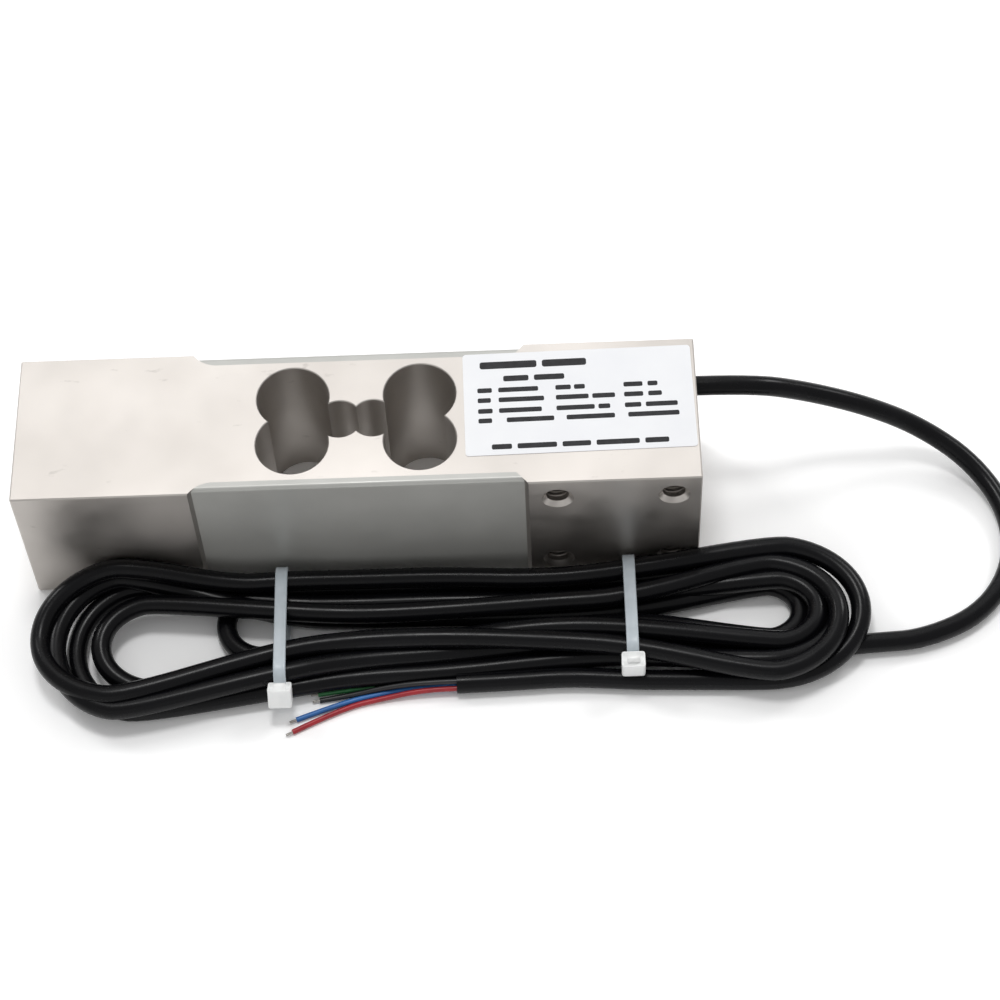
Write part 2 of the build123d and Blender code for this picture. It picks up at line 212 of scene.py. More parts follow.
@dataclass(frozen=True)
class MilledAluminium(Finish):
    """Bare aluminium bar with the arcs of a face mill and the fine lines of drawing.

    Attributes:
        worn: Colour of the duller patches.
        scuffed: Colour of the short scuffs.
        patch: Size of the duller patches.
        scuff: Size of the scuffs.
        mill_pitch: Distance between the arcs that the face mill left.
        mill_centre: Middle of those arcs, from the body's centre, as minus X and minus Y.
        drawn_line: Width of the lines of drawing, which run along the bar.
        grain: Size of the fine grain over all of it.
    """

    worn: str = "b6b1ac"
    scuffed: str = "8f8a86"
    patch: float = 38.0
    scuff: float = 2.6
    mill_pitch: float = 1.6
    mill_centre: Point = (30.0, 85.0, 0.0)
    drawn_line: float = 0.35
    grain: float = 0.25

    def shade(self, shading: Shading) -> None:
        """Warm and cool patches, mill arcs on level sides, lines along the bar elsewhere, and scuffs."""
        patches = shading.remap(shading.noise(self.patch, 3.0), 0.0, 1.0)
        colour = shading.blend(patches, linear(self.colour), linear(self.worn))
        scuffs = shading.remap(shading.noise(self.scuff, 4.0, (0.5, 1.0, 1.0)), 0.0, 0.35, 0.68, 0.76)
        colour = shading.blend(scuffs, colour, linear(self.scuffed))
        shading.surface_input("Base Color", colour)

        facing = shading.node("ShaderNodeNewGeometry").outputs["True Normal"]
        up = shading.node("ShaderNodeSeparateXYZ", inputs={0: facing}).outputs["Z"]
        level = shading.calculate("GREATER_THAN", shading.calculate("ABSOLUTE", up), 0.9)
        coordinates = shading.node("ShaderNodeTexCoord").outputs["Object"]
        centre = {"Vector": coordinates, "Location": Vector(self.mill_centre) * MM}
        turned = shading.node("ShaderNodeMapping", inputs=centre).outputs["Vector"]
        arcs = shading.node(
            "ShaderNodeTexWave",
            {"wave_type": "RINGS", "rings_direction": "Z"},
            {"Vector": turned, "Scale": per_mm(self.mill_pitch) / 20, "Distortion": 0.6, "Detail": 1.0},
        ).outputs["Fac"]
        drawn = shading.noise(self.drawn_line, 3.0, (0.02, 1.0, 1.0))
        relief = shading.node(
            "ShaderNodeMix", {"data_type": "FLOAT"}, {0: level, 2: drawn, 3: arcs}
        ).outputs[0]
        grain = shading.noise(self.grain, 4.0)
        normal = shading.bump(relief, 0.006, 0.5)
        shading.surface_input("Normal", shading.bump(grain, 0.004, 0.5, normal))
        rough = shading.remap(shading.noise(9, 4.0), self.roughness - 0.05, self.roughness + 0.06)
        shading.surface_input("Roughness", rough)


@dataclass(frozen=True)
class Blotched(Finish):
    """A moulded, poured or printed material with slight variation in colour and gloss.

    Attributes:
        second: Colour of the darker or duller blotches.
        blotch: Size of the blotches.
        grain: Size of the surface's fine relief.
        relief: Depth of that relief.
        shine: Strength of the reflection at the surface.
        scatter: How much light passes under the surface.
        through: How far that light goes, in millimetres.
    """

    second: str = "808080"
    blotch: float = 8.0
    grain: float = 0.4
    relief: float = 0.01
    shine: float = 0.5
    scatter: float = 0.0
    through: float = 1.0

    def shade(self, shading: Shading) -> None:
        """Two tones in soft blotches, fine relief, and gloss that varies a little."""
        blotches = shading.remap(shading.noise(self.blotch, 3.0), 0.0, 1.0)
        colour = shading.blend(blotches, linear(self.colour), linear(self.second))
        shading.surface_input("Base Color", colour)
        gloss = shading.noise(self.blotch / 3, 3.0)
        rough = shading.remap(gloss, self.roughness - 0.04, self.roughness + 0.05)
        shading.surface_input("Roughness", rough)
        shading.surface_input("Normal", shading.bump(shading.noise(self.grain, 3.0), self.relief))
        shading.surface_input("Specular IOR Level", self.shine)
        shading.surface_input("Subsurface Weight", self.scatter)
        shading.surface_input("Subsurface Scale", self.through * MM)
        shading.surface_input("Subsurface Radius", (1.0, 1.0, 1.0))


@dataclass(frozen=True)
class BoardLaminate(Finish):
    """Glass fibre board: the weave shows faintly through the lacquer.

    Attributes:
        thread: Colour over the glass threads.
        weave: Distance from one thread to the next.
    """

    thread: str = "2f7a4c"
    weave: float = 0.45

    def shade(self, shading: Shading) -> None:
        """Crossed threads, as two sets of fine bands multiplied."""
        bands = []
        for direction in ("X", "Z"):
            wave = shading.node(
                "ShaderNodeTexWave",
                {"bands_direction": direction},
                {"Vector": shading.place(), "Scale": per_mm(self.weave) / 20, "Distortion": 0.3},
            )
            bands.append(wave.outputs["Fac"])
        crossed = shading.calculate("MULTIPLY", *bands)
        colour = shading.blend(crossed, linear(self.colour), linear(self.thread))
        shading.surface_input("Base Color", colour)
        shading.surface_input("Normal", shading.bump(crossed, 0.02, 0.4))


@dataclass(frozen=True)
class GaugeFilm(Finish):
    """Polyimide carrier with the foil grid of a strain gauge on it.

    Attributes:
        foil: Colour of the foil.
        pitch: Distance from one leg of the grid to the next.
    """

    foil: str = "b9a58a"
    pitch: float = 0.6

    def shade(self, shading: Shading) -> None:
        """Legs of foil side by side, along the body."""
        wave = shading.node(
            "ShaderNodeTexWave",
            {"bands_direction": "Z"},
            {"Vector": shading.place(), "Scale": per_mm(self.pitch) / 20},
        ).outputs["Fac"]
        legs = shading.calculate("GREATER_THAN", wave, 0.55)
        shading.surface_input("Base Color", shading.blend(legs, linear(self.colour), linear(self.foil)))
        shading.surface_input("Metallic", shading.calculate("MULTIPLY", legs, 0.8))
        shading.surface_input("Normal", shading.bump(wave, 0.01, 0.5))


@dataclass(frozen=True)
class StudioWhite(Finish):
    """Pale sweep under and behind the object, which shows as white away from the shadows.

    Attributes:
        seen: Brightness of the sweep as the viewer sees it, where 1 is white paper.
    """

    seen: float = 1.1

    def shade(self, shading: Shading) -> None:
        """Faint paper grain, and a brighter tone where it is seen or mirrored than as a source of light."""
        shading.surface_input("Normal", shading.bump(shading.noise(1.5, 3.0), 0.01, 0.1))
        ray = shading.node("ShaderNodeLightPath").outputs
        mirrored = shading.calculate("MAXIMUM", ray["Is Glossy Ray"], ray["Is Transmission Ray"])
        watched = shading.calculate("MAXIMUM", ray["Is Camera Ray"], mirrored)
        white = (self.seen, self.seen, self.seen, 1.0)
        shading.surface_input("Base Color", shading.blend(watched, linear(self.colour), white))
        shading.surface_input("Specular IOR Level", 0.0)


class Finishes(Enum):
    """Every finish on the object and around it."""

    # Satin bare aluminium: the large softbox behind makes its upper side nearly white
    BODY = MilledAluminium("milled_aluminium", "cbc6c1", 0.42, 1.0)
    # Grey potting over the gauges: smooth, with a satin skin that darkens towards what it mirrors
    POTTING = Blotched(
        "grey_silicone_potting", "b8b8b4", 0.4, 0.3, second="ababa7", blotch=22.0, grain=3.0, relief=0.02
    )
    # Black PVC jacket: deep black with a long narrow highlight and faint waviness from extrusion
    JACKET = Blotched(
        "black_pvc_jacket", "08080a", 0.27, second="0b0b0e", blotch=14.0, grain=0.5, relief=0.012,
        shine=0.17,
    )
    # Rubber seal in the cable's bore: duller than the jacket
    SEAL = Blotched(
        "black_rubber_seal", "141414", 0.6, second="1c1c1b", blotch=3.0, grain=0.3, relief=0.03
    )
    # Natural nylon of the ties: light goes a little way in, so the thick head is whiter than the strap
    STRAP = Blotched(
        "natural_nylon_strap", "c0c8ce", 0.32, second="b4bdc3", blotch=3.0, grain=0.6, relief=0.012,
        scatter=0.25, through=0.6,
    )
    HEAD = Blotched(
        "natural_nylon_head", "fbfcfb", 0.34, second="f4f6f5", blotch=3.0, grain=0.6, relief=0.012,
        scatter=0.35, through=1.5,
    )
    # Polyester label film: cool white against the warm metal, semi gloss
    LABEL = Blotched(
        "white_polyester_label", "e6e7e9", 0.4, second="e1e2e5", blotch=12.0, grain=0.8, relief=0.004
    )
    # Thermal transfer ink: dark grey, a little uneven
    INK = Blotched(
        "black_transfer_ink", "131316", 0.5, second="232327", blotch=1.2, grain=0.2, relief=0.003, shine=0.3
    )
    # PVC insulation of the cores: plain strong colours, smooth with a soft gloss
    LEAD_RED = Blotched(
        "red_pvc_core", "a8202a", 0.38, second="8c1822", blotch=4.0, grain=0.3, relief=0.01
    )
    LEAD_BLUE = Blotched(
        "blue_pvc_core", "2f6fb4", 0.38, second="265c99", blotch=4.0, grain=0.3, relief=0.01
    )
    LEAD_GREEN = Blotched(
        "green_pvc_core", "2c7a43", 0.38, second="226537", blotch=4.0, grain=0.3, relief=0.01
    )
    LEAD_BLACK = Blotched(
        "black_pvc_core", "121214", 0.38, second="1a1a1d", blotch=4.0, grain=0.3, relief=0.01
    )
    # Tinned copper strands: bright metal, a little warm where the tin is thin
    TINNED = Blotched(
        "tinned_copper", "c3c1bd", 0.3, 1.0, second="b3aea8", blotch=1.0, grain=0.1, relief=0.004
    )
    # Glass fibre board under green lacquer: the weave shows as a faint check
    BOARD = BoardLaminate("green_board_laminate", "1f5c39", 0.4)
    # Amber polyimide film with the pale foil grid on it
    GAUGE = GaugeFilm("strain_gauge_film", "b3762f", 0.35)
    # Copper wire under brown enamel: half metallic, glossy
    ENAMEL = Blotched(
        "enamelled_copper_wire", "8a4a22", 0.3, 0.6, second="743c1b", blotch=2.0, grain=0.2, relief=0.005
    )
    # The four cores side by side inside the body: one mixed tone stands for them
    CORES = Blotched(
        "mixed_core_insulation", "3d5c86", 0.4, second="345078", blotch=3.0, grain=0.3, relief=0.01
    )
    # Chip resistors: dark glazed ceramic
    RESISTOR = Blotched(
        "resistor_ceramic", "23262b", 0.42, second="2f3238", blotch=0.9, grain=0.15, relief=0.01
    )
    # White paper sweep: matt, so that it holds only shadows
    FLOOR = StudioWhite("white_studio_sweep", "f0f0f0", 0.8)

    @property
    def material(self) -> bpy.types.Material:
        """The built material."""
        return self.value.build()


# Mesh helpers


def to_metres(points: Iterable[Point]) -> list[Vector]:
    """Turns millimetre points into metre vectors."""
    return [Vector(point) * MM for point in points]


def link_mesh(
    name: str, builder: bmesh.types.BMesh, finish: Finishes, smooth: bool = True
) -> bpy.types.Object:
    """Makes an object of a finished bmesh.

    Args:
        name: The object's name.
        builder: Its mesh, which is freed.
        finish: Its finish.
        smooth: Whether its faces are shaded smooth.

    Returns:
        The object, linked to the scene.
    """
    bmesh.ops.recalc_face_normals(builder, faces=builder.faces)
    mesh = bpy.data.meshes.new(name)
    builder.to_mesh(mesh)
    builder.free()
    mesh.materials.append(finish.material)
    if smooth:
        mesh.shade_smooth()
    piece = bpy.data.objects.new(name, mesh)
    bpy.context.scene.collection.objects.link(piece)
    return piece


def link_curve(
    name: str, points: Sequence[Vector], diameter: float, finish: Finishes, sides: int = 4
) -> bpy.types.Object:
    """Makes a round strand along one smooth open spline.

    Args:
        name: The object's name.
        points: Control points, in metres.
        diameter: The strand's diameter, in metres.
        finish: Its finish.
        sides: Bevel resolution.

    Returns:
        The curve object.
    """
    curve = bpy.data.curves.new(name, "CURVE")
    curve.dimensions = "3D"
    spline = curve.splines.new("NURBS")
    spline.points.add(len(points) - 1)
    for place, point in zip(spline.points, points):
        place.co = (*point, 1.0)
    spline.order_u = 3
    spline.use_endpoint_u = True
    spline.resolution_u = 6
    curve.bevel_depth = diameter / 2
    curve.bevel_resolution = sides
    curve.use_fill_caps = True
    curve.materials.append(finish.material)
    piece = bpy.data.objects.new(name, curve)
    bpy.context.scene.collection.objects.link(piece)
    return piece


def centreline(piece: bpy.types.Object) -> list[Vector]:
    """Reads the points that a curve object's spline runs through."""
    bare = piece.copy()
    bare.data = piece.data.copy()
    bare.data.bevel_depth = 0.0
    bare.data.use_fill_caps = False
    line = bpy.data.meshes.new_from_object(bare)
    places = [vertex.co.copy() for vertex in line.vertices]
    bpy.data.meshes.remove(line)
    spare = bare.data
    bpy.data.objects.remove(bare)
    bpy.data.curves.remove(spare)
    return places


# Cable


class Side(Enum):
    """Which end of the hank a loop is at, with the direction it bulges along X."""

    LEFT = -1
    RIGHT = 1


@dataclass(frozen=True)
class EndLoop:
    """Half a turn round one end of the hank.

    Attributes:
        centre: X and Y of the middle of the half turn's chord.
        reach: How far it bulges past that chord.
        half_width: Half the chord, from the near run to the far one.
        heights: Height of the strand's centre at the near side, the tip and the far side.
    """

    centre: tuple[float, float]
    reach: float
    half_width: float
    heights: Point
    steps: int = 9

    def points(self, side: Side) -> list[Point]:
        """Gives the control points in the order that the cable is wound."""
        near, tip, far = self.heights
        points = []
        for step in range(self.steps):
            share = step / (self.steps - 1)
            angle = math.pi * share
            height = near + (tip - near) * 2 * share if share < 0.5 else tip + (far - tip) * (2 * share - 1)
            x = self.centre[0] + side.value * self.reach * math.sin(angle)
            points.append((x, self.centre[1] - self.half_width * math.cos(angle), height))
        return points if side is Side.LEFT else points[::-1]


@dataclass(frozen=True)
class Turn:
    """One turn of the hank: its near run, left loop, far run and right loop.

    Attributes:
        near: Y and Z of the near run at each station, from right to left.
        far: Y and Z of the far run at the same stations.
        left: Loop at the left end.
        right: Loop at the right end.
        settle: Points where the strand settles between the left loop and the far run.
    """

    near: tuple[tuple[float, float], ...]
    far: tuple[tuple[float, float], ...]
    left: EndLoop
    right: EndLoop
    settle: tuple[Point, ...] = ()

    def points(self, stations: Sequence[float]) -> list[Point]:
        """Gives the turn's control points in the order that the cable is wound."""
        near = [(x, y, z) for x, (y, z) in zip(stations, self.near)]
        far = [(x, y, z) for x, (y, z) in zip(stations, self.far)]
        left = self.left.points(Side.LEFT) + list(self.settle)
        return near + left + far[::-1] + self.right.points(Side.RIGHT)


@dataclass(frozen=True)
class Cable:
    """The whole cable as one strand: out of the body, down to the floor, five turns, and the loose end.

    Attributes:
        diameter: The jacket's diameter.
        length: Length from the body to the cut end. Not used.
        entry: Control points from the body's face into the hank.
        stations: X of the places along the hank where the runs are laid out.
        turns: The hank's turns, in winding order.
        tail: Control points of the loose end.
    """

    diameter: float = 4.5
    length: float = 2000.0
    entry: tuple[Point, ...] = (
        (75.0, 11.5, 29.4),
        (88.0, 11.5, 29.4),
        (100.1, 13.5, 23.2),
        (114.2, 12.9, 17.5),
        (127.1, 12.3, 9.3),
        (139.1, 5.3, 4.3),
        (146.2, -7.4, 2.4),
        (145.6, -22.0, 2.25),
        (137.3, -34.1, 2.25),
        (123.8, -40.0, 2.25),
        (113.3, -40.5, 2.25),
        (102.8, -41.2, 2.25),
        (92.0, -43.0, 2.25),
        (81.0, -42.6, 2.3),
        (70.0, -40.6, 2.6),
    )
    stations: tuple[float, ...] = (59.0, 40.0, 18.0, -2.0, -18.6)
    turns: tuple[Turn, ...] = (
        Turn(
            near=((-37.7, 3.35), (-38.4, 2.4), (-40.8, 4.0), (-41.9, 4.8), (-45.7, 7.1)),
            far=((-31.2, 3.35), (-31.2, 2.3), (-30.3, 2.3), (-30.4, 2.4), (-29.9, 3.4)),
            left=EndLoop((-52.9, -37.0), 16.1, 16.8, (6.1, 6.6, 7.8)),
            right=EndLoop((88.9, -31.7), 8.2, 7.0, (2.3, 2.3, 2.3)),
        ),
        Turn(
            near=((-33.2, 3.35), (-34.2, 2.3), (-36.0, 2.3), (-36.8, 2.3), (-38.9, 3.35)),
            far=((-23.1, 3.35), (-22.4, 2.3), (-21.9, 2.3), (-21.9, 2.3), (-22.4, 3.35)),
            left=EndLoop((-23.0, -30.7), 8.6, 8.4, (2.3, 2.3, 2.3)),
            right=EndLoop((88.0, -33.4), 17.0, 12.8, (5.6, 4.8, 4.4)),
        ),
        Turn(
            near=((-42.2, 3.35), (-42.6, 2.4), (-44.6, 2.3), (-44.9, 2.3), (-48.0, 3.35)),
            far=((-27.3, 3.35), (-26.9, 2.3), (-26.2, 2.3), (-26.3, 2.3), (-26.4, 3.3)),
            left=EndLoop((-49.9, -37.0), 15.0, 15.3, (2.3, 3.2, 4.9)),
            right=EndLoop((91.0, -33.6), 9.7, 8.2, (6.2, 6.2, 6.2)),
        ),
        Turn(
            near=((-37.3, 7.3), (-36.3, 7.2), (-37.4, 4.6), (-40.4, 2.4), (-43.4, 3.35)),
            far=((-29.8, 7.4), (-29.9, 6.6), (-31.1, 6.6), (-31.5, 6.6), (-30.4, 7.3)),
            left=EndLoop((-47.5, -36.8), 11.6, 9.9, (2.4, 5.4, 6.9)),
            right=EndLoop((88.0, -35.8), 17.2, 14.2, (7.2, 8.4, 7.4)),
        ),
        Turn(
            near=((-41.9, 7.3), (-39.9, 7.2), (-38.5, 7.6), (-38.3, 7.1), (-40.2, 7.3)),
            far=((-22.9, 7.7), (-24.0, 6.8), (-22.3, 6.4), (-22.3, 6.5), (-22.6, 7.4)),
            left=EndLoop((-53.4, -35.8), 19.1, 15.3, (7.8, 7.6, 12.9)),
            right=EndLoop((91.5, -33.8), 18.9, 15.4, (2.4, 6.6, 9.2)),
            settle=((-29.5, -23.3, 7.6),),
        ),
    )
    tail: tuple[Point, ...] = (
        (82.5, -48.9, 2.25),
        (73.5, -48.5, 2.25),
        (66.0, -48.2, 2.25),
        (59.0, -47.9, 2.25),
        (45.0, -46.6, 2.25),
        (32.0, -47.2, 2.25),
        (20.0, -47.4, 2.25),
    )

    def route(self) -> list[Point]:
        """Gives the cable's control points from the body to the cut end."""
        points = list(self.entry)
        for turn in self.turns:
            points += turn.points(self.stations)
        return points + list(self.tail)

    def build(self) -> bpy.types.Object:
        """Makes the cable as one spline that stands for all its solids outside the body."""
        cable = link_curve("cable", to_metres(self.route()), self.diameter * MM, Finishes.JACKET, sides=6)
        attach(cable, "root")
        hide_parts("cable_run", "cable_hank", "cable_tail")
        return cable


# Cable ties


@dataclass(frozen=True)
class CableTie:
    """A nylon tie: a strap round the bundle, a locking head, and the strap's cut end in the head's slot.

    Attributes:
        name: Which tie it is, as in the names of the solids.
        x: Where along the hank it sits.
        strands: Y and Z of the strands that the strap bears on.
        head_place: Y and Z of the head's centre.
        head_turn: Turn of the head about X, in degrees.
        edge_round: Radius of the strap's long edges.
        dish: How far the strap's outer side is hollowed between its edges.
        head_wall: Thickness of the head's wall round the slot.
        head_round: Radius of the head's outer edges.
    """

    name: str
    x: float
    strands: tuple[tuple[float, float], ...]
    head_place: tuple[float, float]
    head_turn: float
    strand_radius: float = 2.25
    width: float = 2.7
    thickness: float = 1.0
    head_size: Point = (5.2, 3.9, 5.2)
    edge_round: float = 0.22
    dish: float = 0.07
    head_wall: float = 0.95
    head_round: float = 0.7
    slot_depth: float = 1.2
    stub_proud: float = 0.25
    floor_gap: float = 0.05
    round_samples: int = 40
    strap_samples: int = 160

    def strap_line(self, out: float) -> list[tuple[float, float]]:
        """Gives the closed line round the bundle, out millimetres off its strands, as Y and Z."""
        cloud = []
        for y, z in self.strands:
            for step in range(self.round_samples):
                angle = 2 * math.pi * step / self.round_samples
                reach = self.strand_radius + out
                cloud.append((y + reach * math.cos(angle), z + reach * math.sin(angle)))
        cloud.sort()
        hull: list[tuple[float, float]] = []
        for line in (cloud, cloud[::-1]):
            start = len(hull)
            for point in line:
                while len(hull) - start >= 2:
                    (ay, az), (by, bz) = hull[-2], hull[-1]
                    if (by - ay) * (point[1] - az) - (bz - az) * (point[0] - ay) > 0:
                        break
                    hull.pop()
                hull.append(point)
            hull.pop()
        return hull

    def build_strap(self) -> bpy.types.Object:
        """Makes the strap: a band with softened edges that closes on itself."""
        builder = bmesh.new()
        soft, half, top = self.edge_round, self.width / 2, self.thickness
        right_half = [(half - soft, 0.0), (half, soft), (half, top - soft), (half - soft, top)]
        right_half.append((half - 2.2 * soft, top - self.dish))
        section = [(-half + soft, 0.0)] + right_half + [(-across, out) for across, out in right_half[:0:-1]]
        rings = []
        inner = even_loop(self.strap_line(0.0), self.strap_samples)
        outer = even_loop(self.strap_line(self.thickness), self.strap_samples)
        for inside, outside in zip(inner, outer):
            ring = []
            for across, out in section:
                share = out / self.thickness
                y = inside[0] + (outside[0] - inside[0]) * share
                z = inside[1] + (outside[1] - inside[1]) * share
                ring.append(builder.verts.new(Vector((self.x + across, y, max(z, self.floor_gap))) * MM))
            rings.append(ring)
        for first, second in zip(rings, rings[1:] + rings[:1]):
            for i in range(len(section)):
                j = (i + 1) % len(section)
                builder.faces.new((first[i], first[j], second[j], second[i]))
        strap = link_mesh(f"tie_strap_{self.name}", builder, Finishes.STRAP)
        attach(strap, "root")
        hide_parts(f"cable_tie_{self.name}")
        return strap

    def on_head_side(self, place: Vector) -> bool:
        """Tells whether a corner of the unturned head lies on one of its four outer sides."""
        width, depth, _ = self.head_size
        return abs(abs(place.x) - width / 2) < 1e-4 or abs(abs(place.y) - depth / 2) < 1e-4

    def build_head(self) -> bpy.types.Object:
        """Makes the head: a rounded block with the strap's slot, and the cut strap end in the slot."""
        builder = bmesh.new()
        bmesh.ops.create_cube(builder, size=1.0)
        bmesh.ops.scale(builder, vec=self.head_size, verts=builder.verts)
        for direction in (-1, 1):
            builder.faces.ensure_lookup_table()
            face = max(builder.faces, key=lambda f: f.calc_center_median().z * direction)
            bmesh.ops.inset_region(builder, faces=[face], thickness=self.head_wall)
            bmesh.ops.translate(builder, vec=(0, 0, -direction * self.slot_depth), verts=face.verts)
        outer = [
            edge for edge in builder.edges
            if edge.calc_face_angle(0.0) > 1.0 and all(self.on_head_side(corner.co) for corner in edge.verts)
        ]
        rounding = {"offset": self.head_round, "segments": 4, "profile": 0.5, "affect": "EDGES"}
        bmesh.ops.bevel(builder, geom=outer, **rounding)
        stub = bmesh.ops.create_cube(builder, size=1.0)["verts"]
        stub_size = (self.width, self.thickness, self.head_size[2] + 2 * self.stub_proud)
        bmesh.ops.scale(builder, vec=stub_size, verts=stub)
        turn = Matrix.Rotation(math.radians(self.head_turn), 4, "X")
        y, z = self.head_place
        builder.transform(Matrix.Translation(Vector((self.x, y, z)) * MM) @ turn @ Matrix.Scale(MM, 4))
        head = link_mesh(f"tie_head_{self.name}", builder, Finishes.HEAD)
        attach(head, "root")
        return head

    def build(self) -> list[bpy.types.Object]:
        """Makes both pieces of the tie."""
        return [self.build_strap(), self.build_head()]


def even_loop(line: Sequence[tuple[float, float]], count: int) -> list[tuple[float, float]]:
    """Spaces points evenly round a closed line.

    Args:
        line: Corners of the closed line.
        count: How many points to give.

    Returns:
        The points, starting from the line's first corner.
    """
    closed = list(line) + [line[0]]
    lengths = [math.dist(a, b) for a, b in zip(closed, closed[1:])]
    total = sum(lengths)
    points = []
    index, walked = 0, 0.0
    for step in range(count):
        target = total * step / count
        while walked + lengths[index] < target:
            walked += lengths[index]
            index += 1
        share = (target - walked) / lengths[index] if lengths[index] else 0.0
        (ay, az), (by, bz) = closed[index], closed[index + 1]
        points.append((ay + (by - ay) * share, az + (bz - az) * share))
    return points


# Leads


@dataclass(frozen=True)
class Lead:
    """One core of the cable past the cut jacket, with its stripped end.

    Attributes:
        name: Its colour, as in the names of the solids.
        finish: Its insulation.
        route: Control points from the jacket's end to the end of the insulation.
        conductor: Diameter of the stranded conductor.
        bared: Length of the stripped end.
        strand_count: Strands in the conductor, the middle one included.
        twist: Length over which the strands go a quarter turn round.
        hidden: How far the strands start inside the insulation.
    """

    name: str
    finish: Finishes
    route: tuple[Point, ...]
    diameter: float = 1.2
    conductor: float = 0.6
    bared: float = 1.6
    strand_count: int = 7
    twist: float = 1.1
    hidden: float = 0.3

    def build(self) -> list[bpy.types.Object]:
        """Makes the insulated core and its twisted strands."""
        core = link_curve(f"core_{self.name}", to_metres(self.route), self.diameter * MM, self.finish)
        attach(core, "root")
        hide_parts(f"lead_{self.name}")
        line = centreline(core)
        return [core, self.build_strands(line[-1], (line[-1] - line[-2]).normalized())]

    def build_strands(self, end: Vector, along: Vector) -> bpy.types.Object:
        """Makes the bared strands, twisted round the middle one.

        Args:
            end: Where the insulation ends.
            along: Direction that the core points in there.

        Returns:
            The strands as one mesh.
        """
        builder = bmesh.new()
        across = along.cross(Vector((0, 0, 1))).normalized()
        up = across.cross(along).normalized()
        strand = self.conductor / 3 * MM / 2
        steps, sides = 10, 6
        for index in range(self.strand_count):
            ring_radius = 0.0 if index == 0 else self.conductor / 3 * MM
            previous = None
            for step in range(steps + 1):
                share = step / steps
                spin = 2 * math.pi * (index / (self.strand_count - 1) + share * self.bared / self.twist / 4)
                centre = end + along * (share * self.bared - self.hidden * (1 - share)) * MM
                centre += (across * math.cos(spin) + up * math.sin(spin)) * ring_radius
                ring = []
                for side in range(sides):
                    angle = 2 * math.pi * side / sides
                    outward = across * math.cos(angle) + up * math.sin(angle)
                    ring.append(builder.verts.new(centre + outward * strand))
                if previous is None:
                    builder.faces.new(ring[::-1])
                else:
                    for side in range(sides):
                        after = (side + 1) % sides
                        builder.faces.new((previous[side], previous[after], ring[after], ring[side]))
                previous = ring
            builder.faces.new(previous)
        strands = link_mesh(f"strands_{self.name}", builder, Finishes.TINNED)
        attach(strands, "root")
        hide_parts(f"bared_end_{self.name}")
        return strands


# Print on the label


@dataclass(frozen=True)
class PrintedWord:
    """A plain bar that stands for a word on the label, in the label's own millimetres.

    Attributes:
        left: Where it starts.
        middle: Height of its centre line.
        length: Its length.
        height: Its height.
    """

    left: float
    middle: float
    length: float
    height: float


@dataclass(frozen=True)
class LabelPrint:
    """Plain bars laid out as a rating label's text is, with nothing to read.

    Attributes:
        centre: X and Y of the label's centre.
        turn: Turn of the label, in degrees.
        top: Height of the label's upper side.
        ink: Thickness of the ink.
        corner_share: Radius of a bar's corners, as a share of its height.
        corner_steps: Steps in each of those corners.
    """

    centre: tuple[float, float] = (49.0, 2.75)
    turn: float = 0.8
    top: float = 38.12
    ink: float = 0.012
    corner_share: float = 0.28
    corner_steps: int = 4

    def words(self) -> list[PrintedWord]:
        """Gives the bars: a heading, a line under it, four rows in three columns, and a foot line."""
        words = [
            PrintedWord(-21.5, 10.3, 12.6, 1.9),
            PrintedWord(-7.7, 10.3, 9.8, 1.9),
            PrintedWord(-16.4, 6.6, 5.6, 1.5),
            PrintedWord(-9.6, 6.6, 6.7, 1.5),
        ]
        rows = {
            3.6: ((-22.2, 3.2), (-17.6, 8.8), (-5.0, 3.4), (-0.9, 2.4), (10.0, 4.2), (15.3, 2.2)),
            0.95: ((-22.2, 2.9), (-17.6, 10.0), (-5.0, 7.2), (3.0, 5.0), (10.0, 4.2), (15.3, 3.0)),
            -1.9: ((-22.2, 3.2), (-17.6, 9.4), (-5.0, 8.4), (4.2, 2.6), (10.0, 3.6), (14.6, 7.0)),
            -4.45: ((-22.2, 3.0), (-16.0, 10.4), (-2.9, 10.6), (10.6, 11.2)),
        }
        for middle, bars in rows.items():
            words += [PrintedWord(left, middle, length, 1.25) for left, length in bars]
        foot, space = -19.5, 1.2
        for length in (4.4, 8.6, 6.2, 9.4, 5.2):
            words.append(PrintedWord(foot, -11.4, length, 1.35))
            foot += length + space
        return words

    def build(self) -> bpy.types.Object:
        """Makes all the bars as one thin mesh on the label."""
        builder = bmesh.new()
        for word in self.words():
            soft = self.corner_share * word.height
            corners = []
            for turn_index, (side_x, side_y) in enumerate(((1, 1), (-1, 1), (-1, -1), (1, -1))):
                centre_x = word.left + word.length / 2 + side_x * (word.length / 2 - soft)
                centre_y = word.middle + side_y * (word.height / 2 - soft)
                for step in range(self.corner_steps + 1):
                    angle = math.pi / 2 * (turn_index + step / self.corner_steps)
                    corners.append((centre_x + soft * math.cos(angle), centre_y + soft * math.sin(angle)))
            low = [builder.verts.new((x, y, 0.0)) for x, y in corners]
            face = builder.faces.new(low)
            raised = bmesh.ops.extrude_face_region(builder, geom=[face])["geom"]
            moved = [item for item in raised if isinstance(item, bmesh.types.BMVert)]
            bmesh.ops.translate(builder, vec=(0, 0, self.ink), verts=moved)
        turn = Matrix.Rotation(math.radians(self.turn), 4, "Z")
        place = Matrix.Translation(Vector((*self.centre, self.top)) * MM)
        builder.transform(place @ turn @ Matrix.Scale(MM, 4))
        ink = link_mesh("label_print", builder, Finishes.INK, smooth=False)
        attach(ink, "root")
        return ink


# Screw threads


